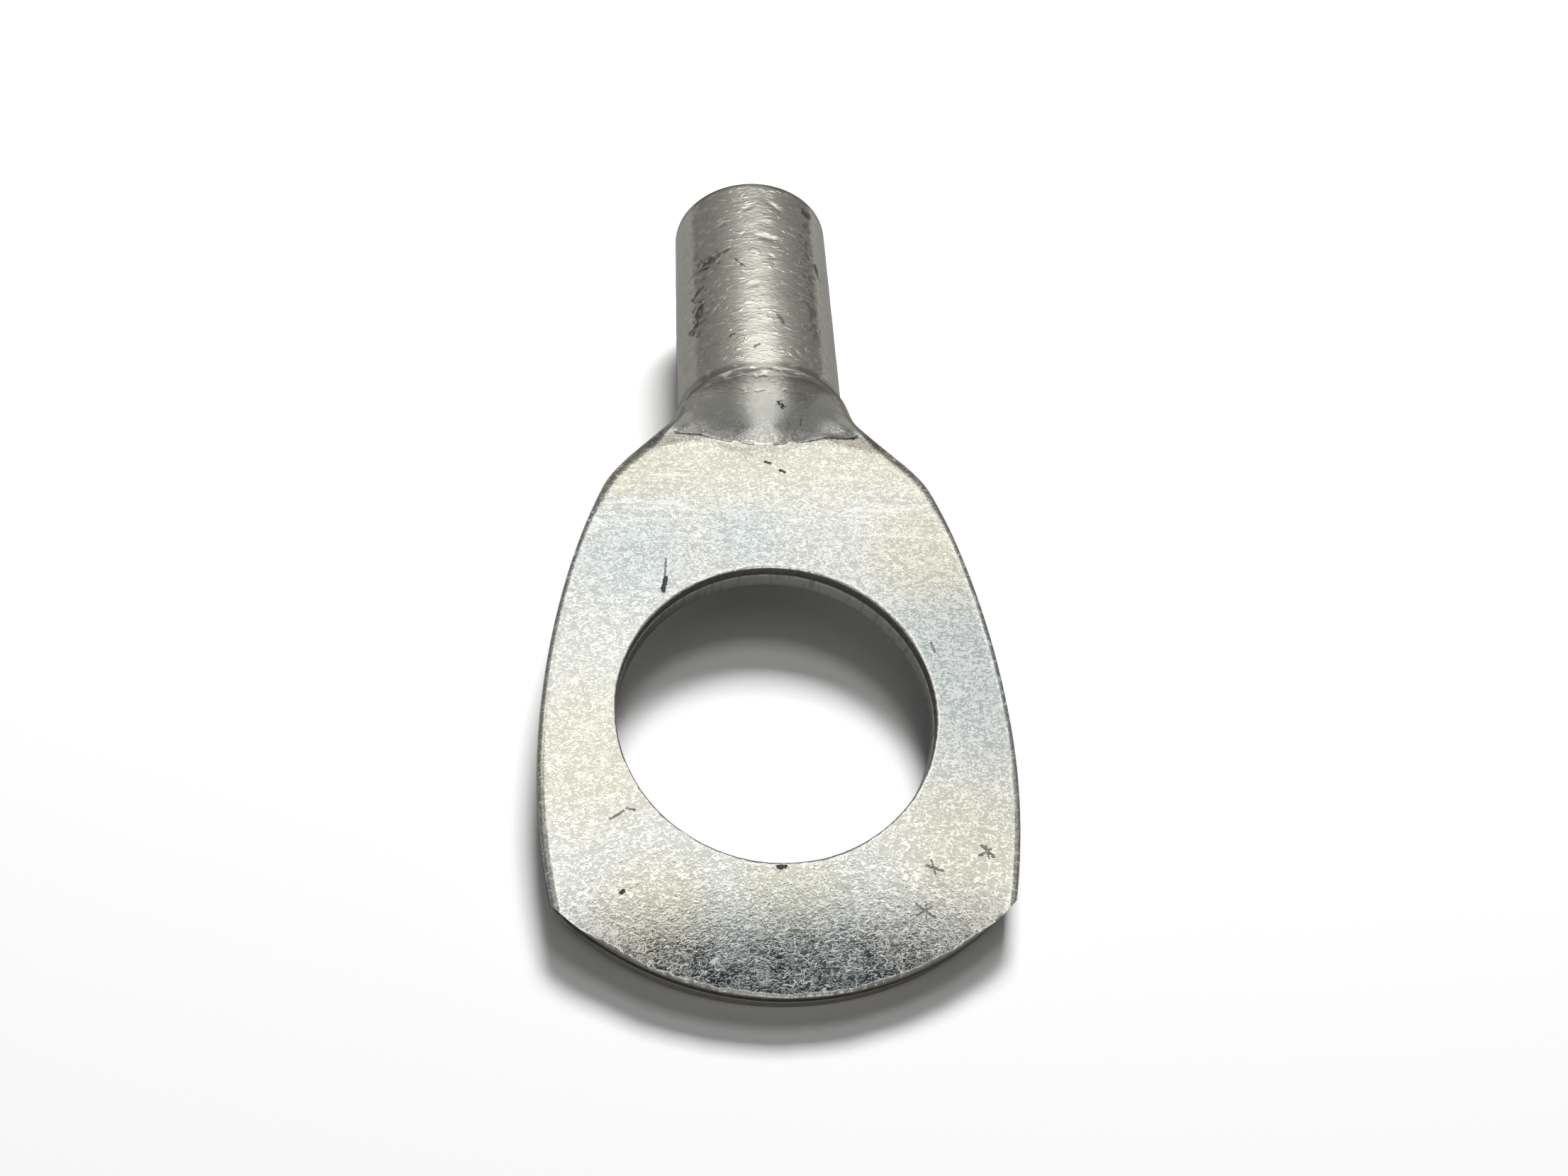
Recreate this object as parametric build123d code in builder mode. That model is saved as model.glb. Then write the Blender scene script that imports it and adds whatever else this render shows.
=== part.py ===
"""Ring terminal: one tinned copper tube, pressed flat at one end and punched for a stud.

The round barrel takes the wire. The other end of the same tube is pressed between two dies
into a flat palm, so the palm is two tube walls lying face to face. A steep neck joins them.

The frame has its origin at the centre of the stud hole, on the palm's lower face. +Z is the
stud's axis, +Y runs to the palm's tip and -Y along the barrel to its mouth.
"""

import os
from math import radians, sqrt, tan

from build123d import *

# Palm and stud hole
stud_hole_diameter = 13.0
stud_hole_break = 0.1
palm_thickness = 1.45
palm_width = 19.1
widest_ahead = 0.9  # the palm is widest this far ahead of the hole's centre
side_radius = 34.0  # the slow bulge of each pressed side
shoulder_distance = 11.7  # hole centre back to the corner that the shoulder rounds off
shoulder_radius = 4.5
fold_radius = 0.66  # the tube wall folds round along each side
tip_distance = 11.4
tip_radius = 12.8
tip_roll_over = 0.14  # the punch draws the tip's upper edge down

# Neck
crease_distance = 13.7  # hole centre back to the line where the palm starts to rise
crease_width = 10.9
neck_slope_angle = 62.0
neck_fold_radius = 0.8  # the folded edge halfway up the neck, fuller than the palm's
flank_hollow = 0.4  # each flank curves in this far from a straight line, halfway up
crown_width = 4.0  # the neck's rounded crown halfway up, where the flanks begin
crown_drop = 0.75  # how far the crown falls away at that width
flank_foot_slope = 0.25  # the flanks run out almost level into the folded edges

# Barrel and wire bore
barrel_diameter = 7.9
bore_diameter = 5.7
mouth_distance = 27.5  # hole centre back to the open end
mouth_outer_break = 0.12
mouth_bore_break = 0.25
palm_rise = 0.2  # the palm's middle plane lies this far above the barrel's axis

# Seam between the two pressed walls
seam_height = 0.85  # above the palm's lower face
seam_gap = 0.09
seam_depth = 0.3
seam_width = 15.0
pinch_distance = 14.2  # hole centre back to where the bore is pressed shut
pinch_width = 8.0
pinch_gap = 0.12

# Sizes that follow
stud_hole_radius = stud_hole_diameter / 2
barrel_radius = barrel_diameter / 2
bore_radius = bore_diameter / 2
axis_height = palm_thickness / 2 - palm_rise
neck_rise = axis_height + barrel_radius - palm_thickness
ridge_distance = crease_distance + neck_rise / tan(radians(neck_slope_angle))
bell_distance = (crease_distance + ridge_distance) / 2
bell_half_width = (crease_width / 2 + barrel_radius) / 2 - flank_hollow
bell_top = (palm_thickness / 2 + barrel_radius - palm_rise) / 2
bell_bottom = (palm_thickness / 2 + barrel_radius + palm_rise) / 2
tip_center = (0, tip_distance - tip_radius)


def side_half_width(along):
    """Half the palm's width at a place along Y, on the slow bulge of its side."""
    return palm_width / 2 - side_radius + sqrt(side_radius**2 - (along - widest_ahead) ** 2)


def cross_plane(distance, height):
    """A plane across the tube, facing its mouth, at a distance back from the stud hole."""
    return Plane(origin=(0, -distance, height), x_dir=(1, 0, 0), z_dir=(0, -1, 0))


bell_plane = cross_plane(bell_distance, palm_thickness / 2)
ridge_plane = cross_plane(ridge_distance, axis_height)
pinch_plane = cross_plane(pinch_distance, seam_height)

with BuildPart() as ring_terminal:
    # Pressed palm, as wide as the tube spreads and longer than the punched tip
    with BuildSketch():
        with BuildLine():
            blank_corner = (side_half_width(tip_distance), tip_distance)
            widest = (palm_width / 2, widest_ahead)
            shoulder_corner = (side_half_width(-shoulder_distance), -shoulder_distance)
            crease_corner = (crease_width / 2, -crease_distance)
            Line((0, tip_distance), blank_corner)
            ThreePointArc(blank_corner, widest, shoulder_corner)
            Line(shoulder_corner, crease_corner)
            Line(crease_corner, (0, -crease_distance))
            mirror(about=Plane.YZ)
        make_face()
        shoulder_corners = vertices().group_by(Axis.Y)[1]
        fillet(shoulder_corners, shoulder_radius)
    extrude(amount=palm_thickness)
    tip_end = faces().sort_by(Axis.Y)[-1]
    crease_end = faces().sort_by(Axis.Y)[0]
    flat_ends = tip_end.edges() + crease_end.edges()
    fold_edges = edges().filter_by(Axis.Z, reverse=True) - flat_ends
    fillet(fold_edges, fold_radius)

    # Neck, from the flat crease through a bell-shaped middle section to the round tube
    crease_section = faces().sort_by(Axis.Y)[0]
    with BuildSketch(bell_plane, mode=Mode.PRIVATE) as bell_section:
        with BuildLine():
            crown = (0, bell_top)
            flank = (crown_width / 2, bell_top - crown_drop)
            fold_top = (bell_half_width - neck_fold_radius, neck_fold_radius)
            fold_side = (bell_half_width, 0)
            fold_bottom = (bell_half_width - neck_fold_radius, -neck_fold_radius)
            lower_flank = (crown_width / 2, crown_drop - bell_bottom)
            lower_crown = (0, -bell_bottom)
            Spline(crown, flank, fold_top, tangents=[(1, 0), (1, -flank_foot_slope)])
            ThreePointArc(fold_top, fold_side, fold_bottom)
            Spline(
                fold_bottom, lower_flank, lower_crown, tangents=[(-1, -flank_foot_slope), (-1, 0)]
            )
            mirror(about=Plane.YZ)
        make_face()
    with BuildSketch(ridge_plane, mode=Mode.PRIVATE) as ridge_section:
        Circle(barrel_radius)
    loft([crease_section, bell_section.sketch.face(), ridge_section.sketch.face()])

    # Barrel
    extrude(ridge_section.sketch, amount=mouth_distance - ridge_distance)
    mouth_rim = faces().sort_by(Axis.Y)[0].edges()
    chamfer(mouth_rim, mouth_outer_break)

    # Wire bore, pressed shut inside the neck
    with BuildSketch(ridge_plane, mode=Mode.PRIVATE) as bore_section:
        Circle(bore_radius)
    extrude(bore_section.sketch, amount=mouth_distance - ridge_distance, mode=Mode.SUBTRACT)
    bore_rim = faces().sort_by(Axis.Y)[0].edges().sort_by(SortBy.RADIUS)[0]
    chamfer(bore_rim, mouth_bore_break)
    with BuildSketch(pinch_plane, mode=Mode.PRIVATE) as pinch_section:
        Ellipse(pinch_width / 2, pinch_gap / 2)
    loft([bore_section.sketch.face(), pinch_section.sketch.face()], mode=Mode.SUBTRACT)

    # Tip, punched to an arc through both walls, which leaves sharp corners at the folds
    with BuildSketch():
        with Locations(tip_center):
            Circle(tip_radius)
        Rectangle(palm_width, mouth_distance, align=(Align.CENTER, Align.MAX))
    extrude(amount=barrel_diameter, both=True, mode=Mode.INTERSECT)
    tip_edges = edges().filter_by(GeomType.CIRCLE).group_by(Axis.Y)[-1]
    fillet(tip_edges.sort_by(Axis.Z)[-1], tip_roll_over)

    # Stud hole
    with BuildSketch():
        Circle(stud_hole_radius)
    extrude(amount=palm_thickness, mode=Mode.SUBTRACT)
    hole_edges = edges().filter_by(GeomType.CIRCLE).filter_by(
        lambda edge: abs(edge.radius - stud_hole_radius) < seam_gap
    )
    fillet(hole_edges.sort_by(Axis.Z)[-1], stud_hole_break)

    # Seam, where the two walls meet in the punched edge of the tip
    with BuildSketch(Plane.XY.offset(seam_height - seam_gap / 2)):
        with Locations(tip_center):
            Circle(tip_radius)
            Circle(tip_radius - seam_depth, mode=Mode.SUBTRACT)
        Rectangle(
            seam_width, mouth_distance, align=(Align.CENTER, Align.MIN), mode=Mode.INTERSECT
        )
    extrude(amount=seam_gap, mode=Mode.SUBTRACT)

ring_terminal.part.label = "ring_terminal"

os.makedirs("parts", exist_ok=True)
export_step(ring_terminal.part, "parts/ring_terminal.step")
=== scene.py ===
"""Ring terminal, finished: one tinned copper tube, pressed flat and punched for a stud.

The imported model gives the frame. Its origin is the centre of the stud hole on the palm's lower
face, +Z is the stud's axis, +Y runs to the palm's tip and -Y along the barrel to its mouth.
Sizes in the classes are in millimetres, and Blender's own units are metres.
"""

import logging
from dataclasses import dataclass, field
from enum import Enum
from math import cos, pi, radians, sin, sqrt, tan

import bmesh
import bpy
import numpy as np
from mathutils import Matrix, Vector

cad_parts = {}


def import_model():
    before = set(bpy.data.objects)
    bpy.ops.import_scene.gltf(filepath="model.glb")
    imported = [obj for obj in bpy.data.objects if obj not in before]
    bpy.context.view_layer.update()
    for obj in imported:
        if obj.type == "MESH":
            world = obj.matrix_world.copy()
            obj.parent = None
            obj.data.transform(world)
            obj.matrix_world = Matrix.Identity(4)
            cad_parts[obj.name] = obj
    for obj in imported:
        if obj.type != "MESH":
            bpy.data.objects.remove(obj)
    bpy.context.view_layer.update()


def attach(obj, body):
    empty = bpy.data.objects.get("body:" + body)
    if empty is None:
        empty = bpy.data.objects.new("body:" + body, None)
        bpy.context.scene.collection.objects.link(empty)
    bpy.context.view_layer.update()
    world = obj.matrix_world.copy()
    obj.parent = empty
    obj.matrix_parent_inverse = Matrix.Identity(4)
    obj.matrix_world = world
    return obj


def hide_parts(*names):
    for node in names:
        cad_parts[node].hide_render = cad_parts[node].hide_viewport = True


LOG = logging.getLogger("ring_terminal")
MM = 0.001
NODE = "ring_terminal"

Colour = tuple[float, float, float]
Point = tuple[float, float, float]
Range = tuple[float, float]
Spot = tuple[Point, float]
Socket = bpy.types.NodeSocket
Value = Socket | Vector | Colour | float


def smooth_min(first: np.ndarray, second: np.ndarray, blend: float | np.ndarray) -> np.ndarray:
    """Takes the lower of two fields, rounded where they are closer together than blend."""
    share = np.clip(0.5 + 0.5 * (second - first) / blend, 0.0, 1.0)
    return second + (first - second) * share - blend * share * (1.0 - share)


def smooth_max(first: np.ndarray, second: np.ndarray, blend: float) -> np.ndarray:
    """Takes the higher of two fields, rounded where they are closer together than blend."""
    return -smooth_min(-first, -second, blend)


def smooth_step(value: np.ndarray, low: float, high: float) -> np.ndarray:
    """Runs from 0 at low to 1 at high, level at both ends."""
    share = np.clip((value - low) / (high - low), 0.0, 1.0)
    return share * share * (3.0 - 2.0 * share)


def rough_line(count: int, waves: int, seed: int) -> np.ndarray:
    """Makes a ragged closed line, as a torn or sheared edge has.

    Args:
        count: How many points the line has.
        waves: How many waves its finest part has.
        seed: Fixes the line, so that it is the same each time.

    Returns:
        One value for each point, mostly between -1 and 1.
    """
    random = np.random.default_rng(seed)
    turn = np.linspace(0.0, 2.0 * pi, count, endpoint=False)
    line = np.zeros(count)
    for wave in range(3, waves):
        phase = random.uniform(0.0, 2.0 * pi)
        line += random.normal() * np.sin(wave * turn + phase) / sqrt(wave)
    return line / (2.0 * line.std())


def length_shares(line: np.ndarray) -> np.ndarray:
    """Gives how far along a line each of its points is, from 0 to 1."""
    lengths = np.linalg.norm(np.diff(line, axis=0), axis=1)
    return np.concatenate([[0.0], np.cumsum(lengths)]) / lengths.sum()


def place_in_scene(name: str, data: bpy.types.ID) -> bpy.types.Object:
    """Makes an object and puts it into the scene.

    Args:
        name: The object's name.
        data: Its mesh, lamp or camera.

    Returns:
        The object.
    """
    made = bpy.data.objects.new(name, data)
    bpy.context.scene.collection.objects.link(made)
    return made


class Side(Enum):
    """The two pressed sides of the palm, by the sign of X."""

    PLUS = 1
    MINUS = -1


@dataclass(frozen=True)
class SideCurve:
    """The slow bulge of one pressed side of the palm."""

    half_width: float
    widest_ahead: float
    front_radius: float
    rear_radius: float
    shoulder_slope: float
    crease_half_width: float

    def reach(self, along: np.ndarray, crease_distance: float, rounding: float) -> np.ndarray:
        """Gives how far this side stands from the middle line.

        Args:
            along: Places along Y.
            crease_distance: How far behind the hole's centre the palm starts to rise.
            rounding: How softly the shoulder turns.

        Returns:
            The distance of the side at each place.
        """
        step = along - self.widest_ahead
        radius = np.where(step > 0.0, self.front_radius, self.rear_radius)
        bulge = self.half_width - radius + np.sqrt(np.maximum(radius**2 - step**2, 1.0))
        flare = self.crease_half_width + self.shoulder_slope * (along + crease_distance)
        return smooth_min(bulge, flare, rounding)


@dataclass(frozen=True)
class PressedTube:
    """The outer skin of the tube: round barrel, steep neck and flat palm, as one field.

    The field is negative in the metal and grows with the distance outside it. Ahead of
    palm_only_from there is no tube left, and only the palm counts.
    """

    palm_thickness: float = 1.45
    barrel_radius: float = 3.95
    axis_height: float = 0.525
    crease_distance: float = 13.7
    neck_length: float = 1.66
    crease_bow: float = 0.8
    crease_reach: float = 1.3
    crease_ease: float = 0.06
    spine_ease: float = 0.3
    spine_foot: float = 2.1
    spine_spread: float = 0.1
    spine_fullness: float = 1.5
    spine_round: float = 0.7
    flare_round: float = 0.4
    flank_inset: float = 0.2
    flank_fullness: float = 1.35
    flank_box: float = 0.9
    ridge_round: float = 0.16
    foot_round: float = 0.18
    flank_foot_round: float = 0.12
    foot_fade: float = 2.5
    shoulder_round: float = 0.55
    side_corner: float = 0.2
    side_bulge: float = 0.1
    shoulder_corner: float = 0.7
    corner_change: Range = (8.0, 13.5)
    flank_foot: Range = (3.2, 5.2)
    bulge_limit: float = 1.5
    least_tall: float = 0.08
    palm_only_from: float = -10.0
    far_outside: float = 9.0
    halvings: int = 34
    plus_side: SideCurve = SideCurve(9.5, 1.3, 27.0, 35.5, 0.93, 5.3)
    minus_side: SideCurve = SideCurve(9.64, 1.2, 26.0, 39.0, 0.93, 5.6)

    def side_reach(self, along: np.ndarray, side: np.ndarray) -> np.ndarray:
        """Gives the palm's reach from its middle line.

        Args:
            along: Places along Y.
            side: The sign of X at each place.

        Returns:
            The reach at each place, on its own side.
        """
        plus = self.plus_side.reach(along, self.crease_distance, self.shoulder_round)
        minus = self.minus_side.reach(along, self.crease_distance, self.shoulder_round)
        return np.where(side >= 0.0, plus, minus)

    def side_stretch(self, along: np.ndarray, side: np.ndarray) -> np.ndarray:
        """Gives how much wider a slanting side looks when it is cut straight across.

        Args:
            along: Places along Y.
            side: The sign of X at each place.

        Returns:
            The stretch at each place, 1 where the side runs along Y.
        """
        small = 0.01
        rise = self.side_reach(along + small, side) - self.side_reach(along - small, side)
        return np.sqrt(1.0 + (rise / (2.0 * small)) ** 2)

    def oval(
        self, points: np.ndarray, wide: np.ndarray, tall: np.ndarray, box: np.ndarray | float = 2.0
    ) -> np.ndarray:
        """Gives an oval's own measure round the barrel's axis, which is 1 on the oval.

        Args:
            points: An array of points, one row each.
            wide: The oval's half width at each point.
            tall: Its half height.
            box: Its power: 2 for a true oval, more for a boxier one.

        Returns:
            The measure at each point.
        """
        across = np.abs(points[:, 0] / wide)
        height = np.abs(points[:, 2] - self.axis_height) / np.maximum(tall, self.least_tall)
        return (across**box + height**box + 1e-9) ** (1.0 / box)

    def past_crease(self, points: np.ndarray) -> np.ndarray:
        """Gives how far points lie ahead of the crease, which bows forward at its ends."""
        bow = self.crease_bow * (points[:, 0] / self.plus_side.crease_half_width) ** 4
        return points[:, 1] + self.crease_distance - np.minimum(bow, self.crease_reach)

    def neck_measures(self, points: np.ndarray) -> tuple[np.ndarray, np.ndarray]:
        """Gives the neck's spine and its flanks as ovals, each 1 on its own skin.

        The spine is narrow at its foot and as wide as the barrel at the ridge. The flanks are
        as wide as the palm at the crease, and lower than the spine until the ridge.

        Args:
            points: An array of points, one row each.

        Returns:
            The measure of the spine and that of the flanks.
        """
        x, y, z = points[:, 0], points[:, 1], points[:, 2]
        share = -self.past_crease(points) / self.neck_length
        above = self.palm_thickness - self.axis_height
        foot = np.where(z >= self.axis_height, above, self.axis_height)
        rise = self.barrel_radius - foot
        ease = self.crease_ease + self.spine_ease * np.exp(-((x / self.spine_foot) ** 2))
        grown = (share + np.sqrt(share**2 + ease**2)) / 2.0
        end = self.barrel_radius + self.spine_spread
        wide = self.spine_foot + (end - self.spine_foot) * grown**self.spine_fullness
        spine = self.oval(points, wide, foot + rise * grown)
        end = np.full(len(points), self.barrel_radius)
        side = smooth_max(self.side_reach(y, x) - self.flank_inset, end, self.flare_round)
        box = 2.0 + self.flank_box * np.clip(1.0 - grown, 0.0, 1.0) ** 2
        return spine, self.oval(points, side, foot + rise * grown**self.flank_fullness, box)

    def neck(self, points: np.ndarray) -> np.ndarray:
        """Measures how far points lie outside the pressed neck.

        Args:
            points: An array of points, one row each.

        Returns:
            The distance outside the neck, negative inside it.
        """
        step = 0.002
        found = []
        for place, value in enumerate(self.neck_measures(points)):
            steep = np.zeros(len(points))
            for axis in range(3):
                moved = points.copy()
                moved[:, axis] += step
                rise = (self.neck_measures(moved)[place] - value) / step
                steep += rise**2
            found.append((value - 1.0) / np.sqrt(np.maximum(steep, 1e-6)))
        beyond = np.maximum(self.past_crease(points), 0.0)
        return smooth_min(found[0], found[1], self.spine_round) + self.foot_fade * beyond**2

    def field(self, points: np.ndarray) -> np.ndarray:
        """Measures how far points lie outside the skin.

        Args:
            points: An array of points, one row each.

        Returns:
            The field at each point.
        """
        x, y, z = points[:, 0], points[:, 1], points[:, 2]
        half = self.palm_thickness / 2.0
        radius = self.barrel_radius
        barrel = np.full(len(points), self.far_outside)
        rear = y < self.palm_only_from
        if rear.any():
            neck = barrel.copy()
            neck[rear] = self.neck(points[rear])
            even = np.full(len(points), radius)
            flared = smooth_max(self.side_reach(y, x), even, self.flare_round)
            barrel = (self.oval(points, flared, even) - 1.0) * radius
            barrel = smooth_max(barrel, neck, self.ridge_round)
        softer = smooth_step(-y, *self.corner_change)
        corner = self.side_corner + (self.shoulder_corner - self.side_corner) * softer
        outside = (np.abs(x) - self.side_reach(y, x)) / self.side_stretch(y, x)
        bulge = np.minimum(((z - half) / half) ** 2, self.bulge_limit)
        outside = outside + self.side_bulge * bulge + corner
        above = np.abs(z - half) - half + corner
        slab = np.hypot(np.maximum(outside, 0.0), np.maximum(above, 0.0)) - corner
        slab = slab + np.minimum(np.maximum(outside, above), 0.0)
        wider = self.flank_foot_round * smooth_step(np.abs(x), *self.flank_foot)
        return smooth_min(barrel, slab, self.foot_round + wider)

    def cast(self, starts: np.ndarray, directions: np.ndarray, reach: float) -> np.ndarray:
        """Finds where lines that start in the metal come out through the skin.

        Args:
            starts: The lines' first points, inside the metal.
            directions: The lines' directions.
            reach: A length that surely ends outside.

        Returns:
            The points on the skin, in the shape of starts.
        """
        shape = starts.shape
        starts, directions = starts.reshape(-1, 3), directions.reshape(-1, 3)
        directions = directions / np.linalg.norm(directions, axis=1)[:, None]
        near, far = np.zeros(len(starts)), np.full(len(starts), reach)
        for _ in range(self.halvings):
            middle = (near + far) / 2.0
            inside = self.field(starts + directions * middle[:, None]) < 0.0
            near, far = np.where(inside, middle, near), np.where(inside, far, middle)
        return (starts + directions * far[:, None]).reshape(shape)


@dataclass(frozen=True)
class PunchedWall:
    """The wall a punch leaves in the palm: drawn-over rim, two sheared sheets and their seam."""

    thickness: float = 1.45
    seam_height: float = 0.85
    seam_gap: float = 0.085
    seam_depth: float = 0.34
    lip: float = 0.035
    foot_break: float = 0.05
    round_spans: int = 4
    corner_share: float = 0.3
    seam_taper: float = 0.12
    upper_rows: tuple[float, ...] = (0.35, 0.7, 1.0)
    lower_rows: tuple[float, ...] = (0.0, 0.3, 0.65, 1.0)

    def profile(self, rim: float, seam: float) -> np.ndarray:
        """Gives the wall's line from the upper face to the lower one.

        Args:
            rim: How far the rim is drawn over.
            seam: 1 where the seam is open, 0 where the two sheets are one.

        Returns:
            Rows of depth into the metal and height above the lower face.
        """
        top, lip, foot = self.thickness, self.lip * seam, self.foot_break
        upper = self.seam_height + self.seam_gap * seam / 2.0
        lower = self.seam_height - self.seam_gap * seam / 2.0
        soft, taper = self.corner_share, self.seam_taper * self.seam_gap * seam
        rows = []
        for turn in np.linspace(0.0, pi / 2.0, self.round_spans + 1):
            rows.append((rim * (1.0 - sin(turn)), top - rim * (1.0 - cos(turn))))
        start = top - rim
        for share in self.upper_rows:
            rows.append((0.0, start + (upper + lip - start) * share))
        rows.append((soft * lip, upper + soft * lip))
        rows.append((lip, upper))
        rows.append((self.seam_depth * 0.5 * seam, upper - taper))
        rows.append((self.seam_depth * seam, self.seam_height))
        rows.append((self.seam_depth * 0.5 * seam, lower + taper))
        rows.append((lip, lower))
        rows.append((soft * lip, lower - soft * lip))
        start = lower - lip
        for share in self.lower_rows:
            rows.append((0.0, start + (foot - start) * share))
        rows.append((soft * foot, soft * foot))
        rows.append((foot, 0.0))
        return np.array(rows)


class Skin(Enum):
    """The material slots of the terminal's mesh, in their order."""

    PLATE = 0
    PUNCHED = 1
    BORE = 2


@dataclass
class Patchwork:
    """Collects grids of points and sews them into one closed mesh."""

    points: list[np.ndarray] = field(default_factory=list)
    faces: list[tuple[int, ...]] = field(default_factory=list)
    skins: list[int] = field(default_factory=list)
    count: int = 0
    sharp_from: float = 38.0

    def add_points(self, points: np.ndarray) -> int:
        """Adds points.

        Args:
            points: An array of points, in any shape.

        Returns:
            The number of the first one.
        """
        first = self.count
        self.points.append(points.reshape(-1, 3))
        self.count += len(self.points[-1])
        return first

    def add_grid(self, grid: np.ndarray, skin: Skin, closed: bool = False) -> None:
        """Adds a grid of points as four-sided faces.

        Args:
            grid: Points in rows and columns.
            skin: The material that the faces take.
            closed: Whether the last column joins the first.
        """
        rows, columns = grid.shape[:2]
        first = self.add_points(grid)
        spans = columns if closed else columns - 1
        for row in range(rows - 1):
            start = first + row * columns
            for column in range(spans):
                near, following = start + column, start + (column + 1) % columns
                self.faces.append((near, following, following + columns, near + columns))
                self.skins.append(skin.value)

    def sew(self, name: str, tolerance: float = 0.0012) -> bpy.types.Object:
        """Joins the grids where they touch and makes the mesh object.

        Args:
            name: The object's name.
            tolerance: How close points are joined, in millimetres.

        Returns:
            The new object, in metres.
        """
        mesh = bpy.data.meshes.new(name)
        mesh.from_pydata((np.concatenate(self.points) * MM).tolist(), [], self.faces)
        mesh.polygons.foreach_set("material_index", self.skins)
        work = bmesh.new()
        work.from_mesh(mesh)
        bmesh.ops.remove_doubles(work, verts=work.verts, dist=tolerance * MM)
        bmesh.ops.recalc_face_normals(work, faces=work.faces)
        open_edges = sum(1 for edge in work.edges if len(edge.link_faces) != 2)
        if open_edges:
            LOG.warning("%s has %d edges that aren't closed", name, open_edges)
        work.to_mesh(mesh)
        work.free()
        mesh.polygons.foreach_set("use_smooth", [True] * len(mesh.polygons))
        mesh.set_sharp_from_angle(angle=radians(self.sharp_from))
        return place_in_scene(name, mesh)


@dataclass(frozen=True)
class Dent:
    """A short dent pressed across the barrel by handling."""

    along: float
    around: float
    length: float
    width: float
    depth: float
    lean: float = 0.0

    def depth_at(self, along: np.ndarray, around: np.ndarray, radius: float) -> np.ndarray:
        """Gives the dent's depth over the barrel.

        Args:
            along: Places along Y.
            around: Angles from the crown, in degrees, towards +X.
            radius: The barrel's radius.

        Returns:
            The depth at each place.
        """
        across = np.radians(around - self.around) * radius
        ahead = along - self.along
        turned = ahead - across * tan(radians(self.lean))
        far = (across / (self.length / 2.0)) ** 2 + (turned / (self.width / 2.0)) ** 2
        return self.depth * np.clip(1.0 - far, 0.0, 1.0) ** 1.5


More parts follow.
